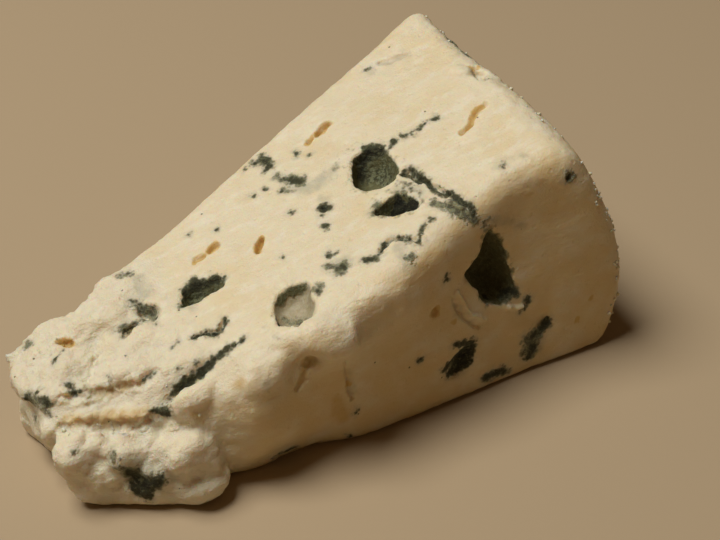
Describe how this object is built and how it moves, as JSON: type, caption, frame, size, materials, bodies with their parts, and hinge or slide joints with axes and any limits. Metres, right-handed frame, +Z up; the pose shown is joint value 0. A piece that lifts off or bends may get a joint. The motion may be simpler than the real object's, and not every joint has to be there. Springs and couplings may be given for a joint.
{
  "type": "blue cheese wedge",
  "caption": "Broken wedge of crumbly blue-veined cheese with a rising top face, a bulging rind, mould-lined hollows and a craggy tip.",
  "frame": {"origin": "middle of the base in plan, on the surface the wedge lies on", "axes": "+X from the broken tip to the rind, +Y from the front side to the back side, +Z up"},
  "size_m": [0.0914, 0.0534, 0.0365],
  "materials": {
    "paste": "moist cream-coloured paste with blue-green mould veins"
  },
  "bodies": {
    "root": {"wedge": "paste"}
  },
  "joints": []
}
